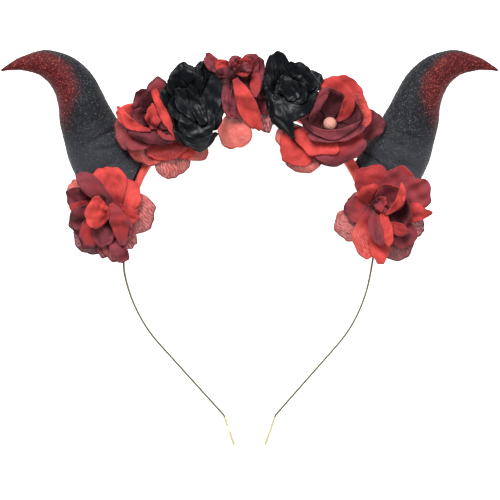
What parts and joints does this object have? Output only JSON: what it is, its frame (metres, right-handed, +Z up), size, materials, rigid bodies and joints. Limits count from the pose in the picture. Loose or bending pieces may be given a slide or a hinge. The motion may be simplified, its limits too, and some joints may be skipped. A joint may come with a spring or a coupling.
{
  "type": "devil horns headband",
  "caption": "Spring steel headband hoop in a felt sleeve, with curved glitter horns, fabric roses in red and black, and clear end caps.",
  "frame": {"origin": "on the surface that the headband lies on, below the middle of its box", "axes": "+X to the wearer's left, which is the right of the picture, +Y to the crown, +Z up, which is the front of the roses"},
  "size_m": [0.224, 0.1782, 0.0463],
  "materials": {
    "steel": "dull brassy spring steel",
    "felt": "red felt",
    "clear_cap": "clear soft plastic, slightly yellow",
    "horn": "black with fine glitter, red glitter towards the point",
    "red_cloth": "red dyed cloth with darker rims",
    "sheer_red_cloth": "thin open weave red cloth",
    "black_cloth": "black satin cloth",
    "core": "dark green moulded plastic",
    "bead": "pale pink gloss"
  },
  "bodies": {
    "root": {"steel_hoop": "steel", "felt_sleeve": "felt", "right_end_cap": "clear_cap", "left_end_cap": "clear_cap", "right_horn": "horn", "left_horn": "horn", "red_rose_1_core": "core", "red_rose_1_outer_petals": "sheer_red_cloth", "red_rose_1_middle_petals": "red_cloth", "red_rose_1_inner_petals": "red_cloth", "red_rose_1_bud": "red_cloth", "red_rose_2_core": "core", "red_rose_2_outer_petals": "sheer_red_cloth", "red_rose_2_middle_petals": "red_cloth", "red_rose_2_inner_petals": "red_cloth", "red_rose_2_bead": "bead", "black_rose_1_core": "core", "black_rose_1_outer_petals": "black_cloth", "black_rose_1_middle_petals": "black_cloth", "black_rose_1_inner_petals": "black_cloth", "black_rose_1_bud": "black_cloth", "red_rose_3_core": "core", "red_rose_3_outer_petals": "sheer_red_cloth", "red_rose_3_middle_petals": "red_cloth", "red_rose_3_inner_petals": "red_cloth", "red_rose_3_bud": "red_cloth", "black_rose_2_core": "core", "black_rose_2_outer_petals": "black_cloth", "black_rose_2_middle_petals": "black_cloth", "black_rose_2_inner_petals": "black_cloth", "black_rose_2_bud": "black_cloth", "red_rose_4_core": "core", "red_rose_4_outer_petals": "sheer_red_cloth", "red_rose_4_middle_petals": "red_cloth", "red_rose_4_inner_petals": "red_cloth", "red_rose_4_bud": "red_cloth", "red_rose_5_core": "core", "red_rose_5_outer_petals": "sheer_red_cloth", "red_rose_5_middle_petals": "red_cloth", "red_rose_5_inner_petals": "red_cloth", "red_rose_5_bud": "red_cloth"}
  },
  "joints": []
}
